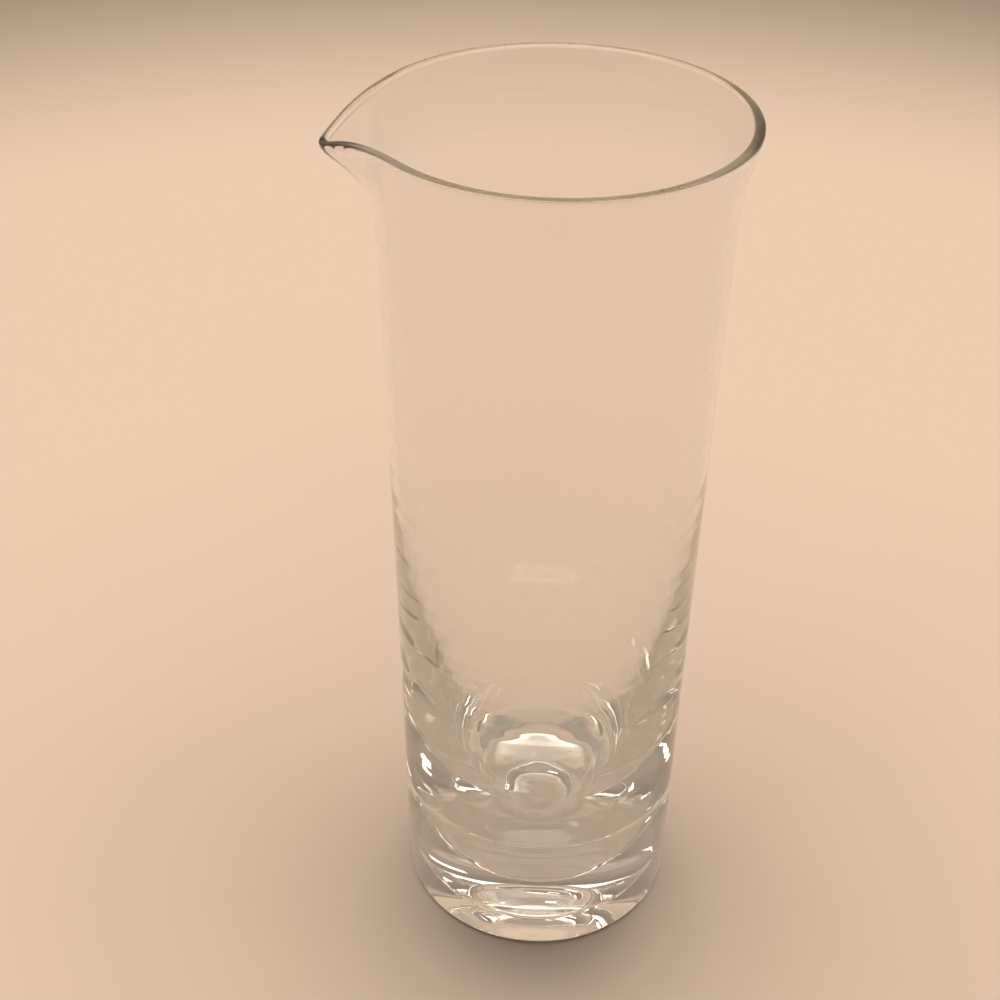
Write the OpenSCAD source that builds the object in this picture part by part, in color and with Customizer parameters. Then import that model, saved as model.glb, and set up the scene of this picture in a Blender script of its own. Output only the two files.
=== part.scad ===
// A tall one-piece mixing pitcher of clear blown glass, with a heavy bottom,
// a flared mouth and a pouring spout that was drawn out of the rim.
// Origin on the table at the middle of the foot, +Z up, the spout towards -X.

/* [Body] */
// Height from the table to the level part of the rim
pitcher_h = 231.7; // [200:0.1:260]
// Outer radius of the wall just above the foot
foot_r = 38.5; // [34:0.1:44]
// Outer radius of the wall at the neck, under the mouth
neck_r = 40.5; // [36:0.1:46]
// Height of the neck, where the drawn mouth begins
neck_z = 195; // [170:1:199]

/* [Foot] */
// Radius of the rounded heel between the stand ring and the wall
heel_r = 2.4; // [1:0.1:5]
// Radius of the round hollow in the middle of the foot, inside the stand ring
hollow_r = 18; // [10:0.1:26]
// Height of that hollow at its middle
hollow_h = 4; // [0.5:0.1:5]

/* [Glass] */
// Height of the inner floor above the table, at its middle
floor_z = 9; // [7:0.1:25]
// Height over which the inside narrows to its round floor
bowl_h = 140; // [60:1:150]
// Thickness of the straight wall above the heavy bottom
wall_t = 1.4; // [1:0.1:2.5]

/* [Mouth] */
// How far the rim flares out past the line of the wall
flare_w = 3.5; // [0.5:0.1:6]
// Height of the flare below the rim
flare_h = 20; // [12:0.5:28]
// Thickness of the fire-rounded lip
lip_t = 2.6; // [1.6:0.1:4]

/* [Spout] */
// How far the spout reaches past the lip
spout_w = 8; // [3:0.1:14]
// How far the rim drops at the tip of the spout
spout_drop = 5; // [0:0.1:9]
// Radius of the rounded tip of the spout, seen from above
tip_r = 4.5; // [2.5:0.1:8]

/* [Hidden] */

// Curves, as exponents: a higher one keeps the start of a curve straighter
wall_curve = 1.5;
flare_curve = 1.6;
spout_curve = 2.3;
drop_curve = 1.25;
lip_curve = 4;
bowl_side = 1.9;
bowl_bottom = 2.9;

// Facets and steps
fine = 180;
ring_n = 96;
wall_n = 16;
bowl_n = 30;
heel_n = 6;
hollow_n = 8;
side_n = 14;
lip_n = 6;

// The rings of points stand closer together towards the spout
crowd = 28;
// Steps along a curve close up towards one end
bowl_step_curve = 2.2;
side_step_curve = 0.7;

// The drawn mouth laps into the top of the wall, a little inside both faces
lap_h = 1;
lap_gap = 0.05;

flare_z = pitcher_h - flare_h;
stand_r = foot_r - heel_r;
// Radius of the ball that the hollow is cut with
hollow_ball_r = (hollow_r * hollow_r + hollow_h * hollow_h) / (2 * hollow_h);
// Height of the middle of the glass where the lip's rounding starts
lip_z = pitcher_h - lip_t / 2;

function part_of(x, low, high) = max(0, min(1, (x - low) / (high - low)));
function unit(v) = v / norm(v);

// Outer radius of the wall, flare left out
function wall_r(z) = foot_r + (neck_r - foot_r) * pow(max(0, z) / neck_z, wall_curve);

// Inner radius: it follows the wall and rounds in towards the floor
function bowl_share(z) =
    pow(1 - pow(1 - part_of(z, floor_z, floor_z + bowl_h), bowl_side), 1 / bowl_bottom);
function inner_r(z) = (wall_r(z) - wall_t) * bowl_share(z);

// Thickness of the drawn mouth: it swells into the rounded lip
function mouth_t(z) = wall_t + (lip_t - wall_t) * pow(part_of(z, neck_z, lip_z), lip_curve);

// Radius of the middle of the glass in the mouth, away from the spout
function mouth_r(z) =
    wall_r(z) + flare_w * pow(part_of(z, flare_z, pitcher_h), flare_curve) - mouth_t(z) / 2;

// The rim seen from above is a circle with a round tip drawn out of it, joined by straight sides.
// Radius of that outline at an angle from the spout
rim_r = mouth_r(lip_z);
tip_x = rim_r + spout_w - tip_r;
side_angle = acos((rim_r - tip_r) / tip_x);
tip_angle = atan2(tip_r * sin(side_angle), tip_x + tip_r * cos(side_angle));
function side_turn(a) = abs(a > 180 ? 360 - a : a);
function outline_r(a) =
    a >= side_angle ? rim_r
    : a >= tip_angle ? rim_r / cos(side_angle - a)
    : tip_x * cos(a) + sqrt(tip_r * tip_r - pow(tip_x * sin(a), 2));
// How much of the spout there is at an angle from it: 1 at its tip, 0 on the round rim
function spout_share(a) = (outline_r(side_turn(a)) - rim_r) / spout_w;

// Middle of the glass in the mouth: a is the angle from the spout, s runs from 0, neck, to 1, lip
function middle(a, s) =
    let (
        z = neck_z + (lip_z - neck_z) * s,
        e = spout_share(a),
        r = mouth_r(z) + spout_w * e * pow(part_of(z, flare_z, lip_z), spout_curve)
    )
    [r * cos(a), r * sin(a), z - spout_drop * pow(e, drop_curve) * s];

// Directions out of the glass and up along it, from two small steps on that surface
step_a = 0.02;
step_s = 0.001;
function up_way(a, s) = unit(middle(a, s) - middle(a, s - step_s));
function out_way(a, s) =
    unit(cross(middle(a + step_a, s) - middle(a - step_a, s), up_way(a, s)));

function outer_side(a) = [
    for (k = [1:side_n])
        let (s = pow(k / side_n, side_step_curve))
        middle(a, s) + out_way(a, s) * mouth_t(neck_z + (lip_z - neck_z) * s) / 2
];
function lip_round(a) = [
    for (k = [1:lip_n - 1])
        let (t = 180 * k / lip_n)
        middle(a, 1) + (out_way(a, 1) * cos(t) + up_way(a, 1) * sin(t)) * lip_t / 2
];
function inner_side(a) = [
    for (k = [side_n:-1:1])
        let (s = pow(k / side_n, side_step_curve))
        middle(a, s) - out_way(a, s) * mouth_t(neck_z + (lip_z - neck_z) * s) / 2
];
function lap_point(a, r, z) = [r * cos(a), r * sin(a), z];
// One closed loop of points round the glass of the mouth, at one angle
function mouth_loop(a) = concat(
    [lap_point(a, neck_r - lap_gap, neck_z - lap_h), lap_point(a, neck_r - lap_gap, neck_z)],
    outer_side(a),
    lip_round(a),
    inner_side(a),
    [
        lap_point(a, neck_r - wall_t + lap_gap, neck_z),
        lap_point(a, neck_r - wall_t + lap_gap, neck_z - lap_h)
    ]
);

function ring_angle(i) = 360 * i / ring_n - crowd * sin(360 * i / ring_n);

// Skin of triangles over a ring of closed loops
module loop_ring(loops) {
    n = len(loops);
    m = len(loops[0]);
    faces = [
        for (i = [0:n - 1])
            for (j = [0:m - 1])
                let (
                    p = i * m + j,
                    q = i * m + (j + 1) % m,
                    u = ((i + 1) % n) * m + j,
                    v = ((i + 1) % n) * m + (j + 1) % m
                )
                each [[p, q, v], [p, v, u]]
    ];
    polyhedron(points = [for (loop = loops) each loop], faces = faces);
}

// The mouth from the neck up, drawn out into the spout
module drawn_mouth() {
    loop_ring([for (i = [0:ring_n - 1]) mouth_loop(ring_angle(i))]);
}

// Half section of the blown wall and heavy bottom, up to the neck
function wall_section() = concat(
    [for (k = [0:heel_n]) let (t = 90 * k / heel_n)
        [stand_r + heel_r * sin(t), heel_r * (1 - cos(t))]],
    [for (k = [1:wall_n]) let (z = heel_r + (neck_z - heel_r) * k / wall_n) [wall_r(z), z]],
    [for (k = [bowl_n:-1:0])
        let (z = floor_z + (neck_z - floor_z) * pow(k / bowl_n, bowl_step_curve))
        [inner_r(z), z]],
    [for (k = [0:hollow_n]) let (r = hollow_r * k / hollow_n)
        [r, hollow_h - hollow_ball_r + sqrt(pow(hollow_ball_r, 2) - pow(r, 2))]]
);

module turned_body() {
    rotate_extrude($fn = fine) polygon(wall_section());
}

module pitcher_body() {
    color([0.82, 0.88, 0.86, 0.45])
        rotate([0, 0, 180]) {
            turned_body();
            drawn_mouth();
        }
}

pitcher_body();
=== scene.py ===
"""A tall one-piece glass pitcher with a drawn spout, on a pale seamless table in soft studio light."""
import math

import bmesh
import bpy
from mathutils import Matrix, Vector


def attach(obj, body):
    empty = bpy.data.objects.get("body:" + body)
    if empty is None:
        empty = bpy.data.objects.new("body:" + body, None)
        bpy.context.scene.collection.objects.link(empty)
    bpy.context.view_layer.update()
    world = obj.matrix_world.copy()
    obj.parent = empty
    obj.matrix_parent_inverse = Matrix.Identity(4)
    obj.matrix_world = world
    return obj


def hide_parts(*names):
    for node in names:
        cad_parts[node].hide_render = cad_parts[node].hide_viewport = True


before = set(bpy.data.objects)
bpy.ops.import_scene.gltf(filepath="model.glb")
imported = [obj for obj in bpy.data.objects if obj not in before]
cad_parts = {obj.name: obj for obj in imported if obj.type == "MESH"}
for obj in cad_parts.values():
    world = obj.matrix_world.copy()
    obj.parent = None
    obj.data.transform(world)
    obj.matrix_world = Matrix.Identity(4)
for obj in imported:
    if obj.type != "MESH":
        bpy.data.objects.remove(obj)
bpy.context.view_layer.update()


# ---------------------------------------------------------------------------
# Camera: a hand-held one, close over the pitcher and looking down on it, with
# the spout to its left.
# ---------------------------------------------------------------------------
CAMERA_BACK, CAMERA_HEIGHT = 0.32313, 0.36131          # from the pitcher's axis, and over the table
LOOK_DOWN, LOOK_ASIDE, TILT = 37.897, -1.150, -1.142   # degrees
SPOUT_TURN = 6.5                # degrees that the spout stands nearer than square to the view

lens_data = bpy.data.cameras.new("photo_camera")
lens_data.sensor_width = 36
lens_data.lens = 56.034
lens_data.shift_x, lens_data.shift_y = -0.021, 0.06
lens_data.clip_start, lens_data.clip_end = 0.01, 60
camera = bpy.data.objects.new("photo_camera", lens_data)
bpy.context.scene.collection.objects.link(camera)
camera.matrix_world = (
    Matrix.Rotation(math.radians(-SPOUT_TURN), 4, "Z")
    @ Matrix.Translation((0, -CAMERA_BACK, CAMERA_HEIGHT))
    @ Matrix.Rotation(math.radians(-LOOK_ASIDE), 4, "Z")
    @ Matrix.Rotation(math.radians(90 - LOOK_DOWN), 4, "X")
    @ Matrix.Rotation(math.radians(-TILT), 4, "Z")
)
bpy.context.scene.camera = camera
bpy.context.scene.view_settings.view_transform = "Standard"

# Light that enters the lip is led down inside the wall by a hundred and more reflections.
# With fewer passes it ends there, and the rim turns black.
PASSES = 256
bpy.context.scene.cycles.max_bounces = PASSES
bpy.context.scene.cycles.transmission_bounces = PASSES
bpy.context.scene.cycles.glossy_bounces = PASSES


# ---------------------------------------------------------------------------
# Light: a beige room lit by one wide soft lamp overhead and by a ring of five
# smaller ones lower down, with a dim side behind the camera. The clear glass is
# drawn by this room and the table, in what it bends and mirrors of them.
# ---------------------------------------------------------------------------
FAR = (0.35, 0.27, 0.19)        # near the tone of the far paper, so that the table's edge hardly shows
HORIZON = (0.66, 0.50, 0.39)
WALLS = (0.42, 0.325, 0.255)
COVE = (0.28, 0.215, 0.17)
LAMP = (2.9, 2.55, 2.13)
DIM_SIDE = (0.23, 0.195, 0.15)
BY_HEIGHT = ((0, FAR), (12, HORIZON), (22, WALLS), (34, WALLS), (56, COVE), (63, LAMP))   # degrees up
SMALL_LAMPS = 5
LAMP_SIDE = (0.80, 0.84)        # cosine at a small lamp's side edge and where it is full
LAMP_FOOT = (36, 36.5)          # degrees up: its lower edge and where it is full
LAMP_HEAD = (42.5, 42)          # degrees up: its upper edge and where it is full
DIM_FROM, DIM_FULL = 0.0, -0.6  # how far back the dim side starts and where it is full
DIM_FOOT = (4, 10)              # degrees up: it starts over the table and is full here

room = bpy.data.worlds.new("studio_room")
bpy.context.scene.world = room
room.use_nodes = True
nodes, links = room.node_tree.nodes, room.node_tree.links
background = nodes["Background"]
way = nodes.new("ShaderNodeTexCoord")
parts = nodes.new("ShaderNodeSeparateXYZ")
links.new(way.outputs["Generated"], parts.inputs[0])
height = nodes.new("ShaderNodeMapRange")
height.inputs["From Min"].default_value = -1
links.new(parts.outputs["Z"], height.inputs["Value"])
by_height = nodes.new("ShaderNodeValToRGB")
links.new(height.outputs[0], by_height.inputs[0])
stops = by_height.color_ramp.elements
stops[0].position, stops[0].color = 0, (*FAR, 1)
stops[1].position, stops[1].color = 1, (*LAMP, 1)
for degrees, colour in BY_HEIGHT:
    stops.new((math.sin(math.radians(degrees)) + 1) / 2).color = (*colour, 1)

turned = nodes.new("ShaderNodeMapping")
turned.inputs["Rotation"].default_value[2] = math.radians(SPOUT_TURN)
links.new(way.outputs["Generated"], turned.inputs["Vector"])
turned_parts = nodes.new("ShaderNodeSeparateXYZ")
links.new(turned.outputs[0], turned_parts.inputs[0])


def part_way(value, low, high, soft=False):
    """0 where the value is low or beyond and 1 where it is high or beyond."""
    step = nodes.new("ShaderNodeMapRange")
    if soft:
        step.interpolation_type = "SMOOTHSTEP"
    step.inputs["From Min"].default_value = low
    step.inputs["From Max"].default_value = high
    links.new(value, step.inputs["Value"])
    return step.outputs[0]


def up_from(low, high, soft=False):
    """The same for two angles over the horizon, in degrees."""
    return part_way(parts.outputs["Z"], math.sin(math.radians(low)), math.sin(math.radians(high)), soft)


def both(one, other):
    product = nodes.new("ShaderNodeMath")
    product.operation = "MULTIPLY"
    links.new(one, product.inputs[0])
    links.new(other, product.inputs[1])
    return product.outputs[0]


def painted(under, colour, where):
    """One colour laid over another where the third value is 1."""
    mix = nodes.new("ShaderNodeMix")
    mix.data_type = "RGBA"
    mix.inputs[7].default_value = (*colour, 1)
    links.new(where, mix.inputs["Factor"])
    links.new(under, mix.inputs[6])
    return mix.outputs[2]


behind = part_way(turned_parts.outputs["Y"], DIM_FROM, DIM_FULL, soft=True)
dimmed = painted(by_height.outputs[0], DIM_SIDE, both(behind, up_from(*DIM_FOOT, soft=True)))

round_room = nodes.new("ShaderNodeMath")
round_room.operation = "ARCTAN2"
links.new(turned_parts.outputs["Y"], round_room.inputs[0])
links.new(turned_parts.outputs["X"], round_room.inputs[1])
count = nodes.new("ShaderNodeMath")
count.operation = "MULTIPLY"
count.inputs[1].default_value = SMALL_LAMPS
links.new(round_room.outputs[0], count.inputs[0])
wave = nodes.new("ShaderNodeMath")
wave.operation = "COSINE"
links.new(count.outputs[0], wave.inputs[0])
ring = both(up_from(*LAMP_FOOT), up_from(*LAMP_HEAD))
small_lamps = both(ring, part_way(wave.outputs[0], *LAMP_SIDE))
links.new(painted(dimmed, LAMP, small_lamps), background.inputs["Color"])


# ---------------------------------------------------------------------------
# Table: one sheet of warm pale paper that runs out past the light. A painted
# shade round the foot and a painted fall-off of the light far away are in its colour.
# ---------------------------------------------------------------------------
PAPER = (0.90, 0.765, 0.675)
# The far paper's darker tone is a painted fall-off of the light on it.
PAPER_FAR_PAINTED_DIM = (0.34, 0.283, 0.235)
# A painted glow: behind the glass the paper shines with this even colour as light.
PAPER_GLOW_SEEN_THROUGH = (0.78, 0.58, 0.43)
SEEN_THROUGH = 0.5              # how much of that painted glow the paper has behind the glass
TABLE_R, TABLE_Z = 12, -0.0002
FALL_NEAR, FALL_FAR = 0.50, 0.95        # distances between which the light on the paper falls off
SHADE_PLACE = (-0.003, -0.027, 0)
SHADE_REACH = 0.3
SHADE_DEEPEST = (0.0081, 0.40)
SHADE = (
    (0.022, 0.55),
    (0.028, 0.64),
    (0.036, 0.72),
    (0.055, 0.82),
    (0.079, 0.87),
    (0.12, 0.90),
    (0.2, 0.95),
)                               # distance from the shade's middle, and how much of the light is left

bpy.ops.object.select_all(action="DESELECT")
bpy.ops.mesh.primitive_circle_add(
    vertices=96, radius=TABLE_R, fill_type="NGON", location=(0, 0, TABLE_Z)
)
table = bpy.context.object
table.name = "table_paper"
paper = bpy.data.materials.new("warm_paper")
paper.use_nodes = True
nodes, links = paper.node_tree.nodes, paper.node_tree.links
sheet = nodes["Principled BSDF"]
sheet.inputs["Roughness"].default_value = 0.9
place = nodes.new("ShaderNodeTexCoord")
away = nodes.new("ShaderNodeVectorMath")
away.operation = "LENGTH"
links.new(place.outputs["Object"], away.inputs[0])
fall = part_way(away.outputs["Value"], FALL_NEAR, FALL_FAR, soft=True)
lit = nodes.new("ShaderNodeMix")
lit.data_type = "RGBA"
lit.inputs[6].default_value = (*PAPER, 1)
lit.inputs[7].default_value = (*PAPER_FAR_PAINTED_DIM, 1)
links.new(fall, lit.inputs["Factor"])

from_shade = nodes.new("ShaderNodeVectorMath")
from_shade.operation = "DISTANCE"
from_shade.inputs[1].default_value = SHADE_PLACE
links.new(place.outputs["Object"], from_shade.inputs[0])
reach = nodes.new("ShaderNodeMath")
reach.operation = "DIVIDE"
reach.inputs[1].default_value = SHADE_REACH
links.new(from_shade.outputs["Value"], reach.inputs[0])
shade = nodes.new("ShaderNodeValToRGB")
links.new(reach.outputs[0], shade.inputs[0])
stops = shade.color_ramp.elements
deepest, level = SHADE_DEEPEST
stops[0].position, stops[0].color = deepest / SHADE_REACH, (level, level, level, 1)
stops[1].position, stops[1].color = 1, (1, 1, 1, 1)
for distance, level in SHADE:
    stops.new(distance / SHADE_REACH).color = (level, level, level, 1)
shaded = nodes.new("ShaderNodeMix")
shaded.data_type = "RGBA"
shaded.blend_type = "MULTIPLY"
shaded.inputs["Factor"].default_value = 1
links.new(lit.outputs[2], shaded.inputs[6])
links.new(shade.outputs[0], shaded.inputs[7])
links.new(shaded.outputs[2], sheet.inputs["Base Color"])

# The glass throws too dark a shadow on the paper that is seen through it. An even glow, half mixed
# in behind the glass alone, gives that light back.
glow = nodes.new("ShaderNodeEmission")
glow.inputs["Color"].default_value = (*PAPER_GLOW_SEEN_THROUGH, 1)
path = nodes.new("ShaderNodeLightPath")
half = nodes.new("ShaderNodeMath")
half.operation = "MULTIPLY"
half.inputs[1].default_value = SEEN_THROUGH
links.new(path.outputs["Is Transmission Ray"], half.inputs[0])
either = nodes.new("ShaderNodeMixShader")
links.new(half.outputs[0], either.inputs[0])
links.new(sheet.outputs[0], either.inputs[1])
links.new(glow.outputs[0], either.inputs[2])
links.new(either.outputs[0], nodes["Material Output"].inputs["Surface"])
table.data.materials.append(paper)


# ---------------------------------------------------------------------------
# Pitcher: one piece of clear blown glass. The gather is blown with a heavy
# bottom, the mouth is flared and fire-polished, and the spout is drawn out of
# the hot rim. It stands on a flat ring round a shallow hollow.
# ---------------------------------------------------------------------------
PITCHER_H = 0.2317              # to the level part of the rim
FOOT_R, NECK_R, NECK_Z = 0.0385, 0.0405, 0.195
HEEL_R, HOLLOW_R, HOLLOW_H = 0.0024, 0.018, 0.004
FLOOR_Z, BOWL_H, WALL_T = 0.009, 0.140, 0.0014
FLARE_W, FLARE_H, LIP_T = 0.0035, 0.020, 0.0026
SPOUT_W, SPOUT_DROP, TIP_R = 0.008, 0.005, 0.0045
UPPER_T, UPPER_Z = 0.0009, 0.11         # how much thicker the wall gets, from this height to the neck
LIP_SQUARE = 0.5                # 1 is a half-round lip, and less flattens its top
LIP_RISE = 0.98                 # height of the lip's top in halves of its thickness

# Curves, as exponents: a higher one keeps the start of a curve straighter
WALL_CURVE, FLARE_CURVE, LIP_CURVE = 1.5, 1.6, 4
BOWL_SIDE, BOWL_BOTTOM = 1.9, 2.9
SPOUT_CURVE, DROP_CURVE = 2.3, 1.25

# Rings and points
COLUMNS, CROWD = 96, 28         # points round each ring, closer together at the spout
HOLLOW_RINGS, HEEL_RINGS, WALL_RINGS, BOWL_RINGS = 8, 6, 16, 30
SIDE_RINGS, LIP_RINGS = 9, 12
SIDE_STEP, BOWL_STEP = 0.7, 2.2         # rings close up towards the lip and towards the floor
RING_GAP = 0.0004               # keeps the hollow's edge crisp
NEAR = 0.000001                 # points nearer to each other than this are one
SMALL_TURN, SMALL_RISE = 0.0004, 0.001  # steps on the mouth's surface, to find which way it faces

STAND_R = FOOT_R - HEEL_R
BALL_R = (HOLLOW_R ** 2 + HOLLOW_H ** 2) / (2 * HOLLOW_H)
FLARE_Z = PITCHER_H - FLARE_H
LIP_Z = PITCHER_H - LIP_T / 2


def share(value, low, high):
    return max(0.0, min(1.0, (value - low) / (high - low)))


def wall_r(z):
    """Outer radius of the wall, flare left out."""
    return FOOT_R + (NECK_R - FOOT_R) * (max(0, z) / NECK_Z) ** WALL_CURVE


def inner_r(z):
    """Inner radius: it follows the wall and rounds in towards the floor."""
    wall_t = WALL_T + UPPER_T * share(z, UPPER_Z, NECK_Z)
    left = 1 - share(z, FLOOR_Z, FLOOR_Z + BOWL_H)
    return (wall_r(z) - wall_t) * (1 - left ** BOWL_SIDE) ** (1 / BOWL_BOTTOM)


def mouth_t(z):
    """Thickness of the mouth: it swells from the wall's to the lip's."""
    upper_t = WALL_T + UPPER_T
    return upper_t + (LIP_T - upper_t) * share(z, NECK_Z, LIP_Z) ** LIP_CURVE


def mouth_r(z):
    """Radius of the middle of the glass in the mouth, away from the spout."""
    return wall_r(z) + FLARE_W * share(z, FLARE_Z, PITCHER_H) ** FLARE_CURVE - mouth_t(z) / 2


RIM_R = mouth_r(LIP_Z)
TIP_X = RIM_R + SPOUT_W - TIP_R
SIDE_ANGLE = math.acos((RIM_R - TIP_R) / TIP_X)
TIP_ANGLE = math.atan2(TIP_R * math.sin(SIDE_ANGLE), TIP_X + TIP_R * math.cos(SIDE_ANGLE))


def spout_share(angle):
    """How much of the spout there is at an angle from it: 1 at its tip, 0 on the round rim."""
    angle = abs(angle)
    if angle >= SIDE_ANGLE:
        return 0.0
    if angle >= TIP_ANGLE:
        reach = RIM_R / math.cos(SIDE_ANGLE - angle)
    else:
        reach = TIP_X * math.cos(angle) + math.sqrt(TIP_R ** 2 - (TIP_X * math.sin(angle)) ** 2)
    return (reach - RIM_R) / SPOUT_W


def middle(angle, rise):
    """Middle of the glass in the mouth: rise runs from 0, neck, to 1, lip."""
    z = NECK_Z + (LIP_Z - NECK_Z) * rise
    drawn = spout_share(angle)
    r = mouth_r(z) + SPOUT_W * drawn * share(z, FLARE_Z, LIP_Z) ** SPOUT_CURVE
    drop = SPOUT_DROP * drawn ** DROP_CURVE * rise
    return Vector((-r * math.cos(angle), r * math.sin(angle), z - drop))


def out_of(angle, rise):
    """Direction out of the glass, from two small steps on its surface."""
    up = (middle(angle, rise) - middle(angle, rise - SMALL_RISE)).normalized()
    along = middle(angle + SMALL_TURN, rise) - middle(angle - SMALL_TURN, rise)
    out = up.cross(along).normalized()
    if out.x * -math.cos(angle) + out.y * math.sin(angle) < 0:
        out.negate()
    return out


def side_point(angle, rise, side):
    """A point on the mouth's glass: side is 1 on the outside and -1 on the inside."""
    t = mouth_t(NECK_Z + (LIP_Z - NECK_Z) * rise)
    return middle(angle, rise) + out_of(angle, rise) * side * t / 2


def lip_point(angle, turn):
    """A point on the lip: turn runs from 0, outside, over its level top to 180, inside."""
    out = out_of(angle, 1)
    out.z = 0
    out.normalize()
    wide = math.copysign(abs(math.cos(turn)) ** LIP_SQUARE, math.cos(turn))
    up = Vector((0, 0, LIP_RISE * math.sin(turn) ** LIP_SQUARE))
    return middle(angle, 1) + (out * wide + up) * LIP_T / 2


bpy.ops.object.select_all(action="DESELECT")
bpy.ops.mesh.primitive_circle_add(
    vertices=COLUMNS, radius=HOLLOW_R, fill_type="NOTHING", location=(0, 0, 0)
)
pitcher = bpy.context.object
pitcher.name = "glass_pitcher"
bpy.ops.object.mode_set(mode="EDIT")
bpy.ops.mesh.select_mode(type="VERT")
glass = bmesh.from_edit_mesh(pitcher.data)


def chosen():
    return [v for v in glass.verts if v.select]


def angle_of(vertex):
    """Angle of a point from the spout, which is towards -X."""
    return math.atan2(vertex.co.y, -vertex.co.x)


def around(angle):
    """Place of an angle in the order round a ring, which starts just behind the back."""
    return (math.degrees(angle) + 181) % 360


def choose(vertices):
    bpy.ops.mesh.select_all(action="DESELECT")
    for vertex in vertices:
        vertex.select = True
    glass.select_flush(True)


def put(vertex, place):
    """Moves one point of the glass to its place."""
    choose([vertex])
    bpy.ops.transform.translate(value=place - vertex.co)


def next_ring(r, z):
    """Draws the chosen ring on to a new one of radius r at height z."""
    old = max(chosen(), key=lambda v: v.co.x).co.copy()
    bpy.ops.mesh.extrude_edges_move(TRANSFORM_OT_translate={"value": (0, 0, z - old.z)})
    grow = r / math.hypot(old.x, old.y)
    bpy.ops.transform.resize(value=(grow, grow, 1), center_override=(0, 0, z))


def close_ring(z):
    """Draws the chosen ring in to one point at height z."""
    rise = z - chosen()[0].co.z
    bpy.ops.mesh.extrude_edges_move(TRANSFORM_OT_translate={"value": (0, 0, rise)})
    bpy.ops.mesh.merge(type="CENTER")


# The ring's points close up towards the spout, where the rim bends most.
for vertex in chosen():
    even = angle_of(vertex)
    crowded = even - math.radians(CROWD) * math.sin(even)
    put(vertex, Vector((-HOLLOW_R * math.cos(crowded), HOLLOW_R * math.sin(crowded), 0)))

# The shallow hollow under the foot, drawn in to its middle.
choose(glass.verts)
for k in range(HOLLOW_RINGS - 1, 0, -1):
    r = HOLLOW_R * k / HOLLOW_RINGS
    next_ring(r, HOLLOW_H - BALL_R + math.sqrt(BALL_R ** 2 - r ** 2))
close_ring(chosen()[0].co.z)

# From the hollow's edge out over the stand ring, round the heel and up the wall.
choose([
    v for v in glass.verts
    if abs(v.co.z) < NEAR and abs(math.hypot(v.co.x, v.co.y) - HOLLOW_R) < NEAR
])
next_ring(HOLLOW_R + RING_GAP, 0)
next_ring((HOLLOW_R + STAND_R) / 2, 0)
for k in range(HEEL_RINGS + 1):
    t = math.radians(90 * k / HEEL_RINGS)
    next_ring(STAND_R + HEEL_R * math.sin(t), HEEL_R * (1 - math.cos(t)))
for k in range(1, WALL_RINGS + 1):
    z = HEEL_R + (NECK_Z - HEEL_R) * k / WALL_RINGS
    next_ring(wall_r(z), z)

columns = sorted((angle_of(v) for v in chosen()), key=around)


def mouth_ring(point):
    """A ring of the mouth, drawn on as a circle, with its points on the spout's side then pulled out."""
    back = point(math.pi)
    next_ring(back.x, back.z)
    ring = sorted(chosen(), key=lambda v: around(angle_of(v)))
    for vertex, angle in zip(ring, columns):
        if abs(angle) < SIDE_ANGLE:
            put(vertex, point(angle))
    choose(ring)


# The flared mouth: up its outside, over the fire-rounded lip and down its inside.
rises = [(k / SIDE_RINGS) ** SIDE_STEP for k in range(1, SIDE_RINGS + 1)]
for rise in rises:
    mouth_ring(lambda angle: side_point(angle, rise, 1))
for k in range(1, LIP_RINGS):
    mouth_ring(lambda angle: lip_point(angle, math.radians(180 * k / LIP_RINGS)))
for rise in reversed(rises):
    mouth_ring(lambda angle: side_point(angle, rise, -1))

# Down the inside of the wall to the round floor.
for k in range(BOWL_RINGS, 0, -1):
    z = FLOOR_Z + (NECK_Z - FLOOR_Z) * (k / BOWL_RINGS) ** BOWL_STEP
    next_ring(inner_r(z), z)
close_ring(FLOOR_Z)

bpy.ops.mesh.select_all(action="SELECT")
bpy.ops.mesh.remove_doubles(threshold=NEAR)
bpy.ops.mesh.normals_make_consistent(inside=False)
bpy.ops.object.mode_set(mode="OBJECT")
smooth = pitcher.modifiers.new("smooth_glass", "SUBSURF")
smooth.levels = smooth.render_levels = 1
bpy.ops.object.modifier_apply(modifier=smooth.name)
bpy.ops.object.shade_smooth()

# Soft ripples lie level round the glass, from blowing and turning. Its depth has a faint warm tint.
clear_glass = bpy.data.materials.new("clear_blown_glass")
clear_glass.use_nodes = True
nodes, links = clear_glass.node_tree.nodes, clear_glass.node_tree.links
shine = nodes["Principled BSDF"]
shine.inputs["Base Color"].default_value = (0.96, 0.955, 0.945, 1)
shine.inputs["Roughness"].default_value = 0
shine.inputs["IOR"].default_value = 1.5
shine.inputs["Transmission Weight"].default_value = 1
place = nodes.new("ShaderNodeTexCoord")
stretch = nodes.new("ShaderNodeMapping")
stretch.inputs["Scale"].default_value = (22, 22, 140)
links.new(place.outputs["Object"], stretch.inputs["Vector"])
waves = nodes.new("ShaderNodeTexNoise")
waves.inputs["Scale"].default_value = 1
waves.inputs["Detail"].default_value = 1
links.new(stretch.outputs[0], waves.inputs["Vector"])
ripple = nodes.new("ShaderNodeBump")
ripple.inputs["Strength"].default_value = 1
ripple.inputs["Distance"].default_value = 0.00008
links.new(waves.outputs["Fac"], ripple.inputs["Height"])
links.new(ripple.outputs[0], shine.inputs["Normal"])
depth = nodes.new("ShaderNodeVolumeAbsorption")
depth.inputs["Color"].default_value = (0.5, 0.47, 0.28, 1)
depth.inputs["Density"].default_value = 1.7
links.new(depth.outputs[0], nodes["Material Output"].inputs["Volume"])
pitcher.data.materials.append(clear_glass)
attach(pitcher, "root")
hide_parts("pitcher_body")
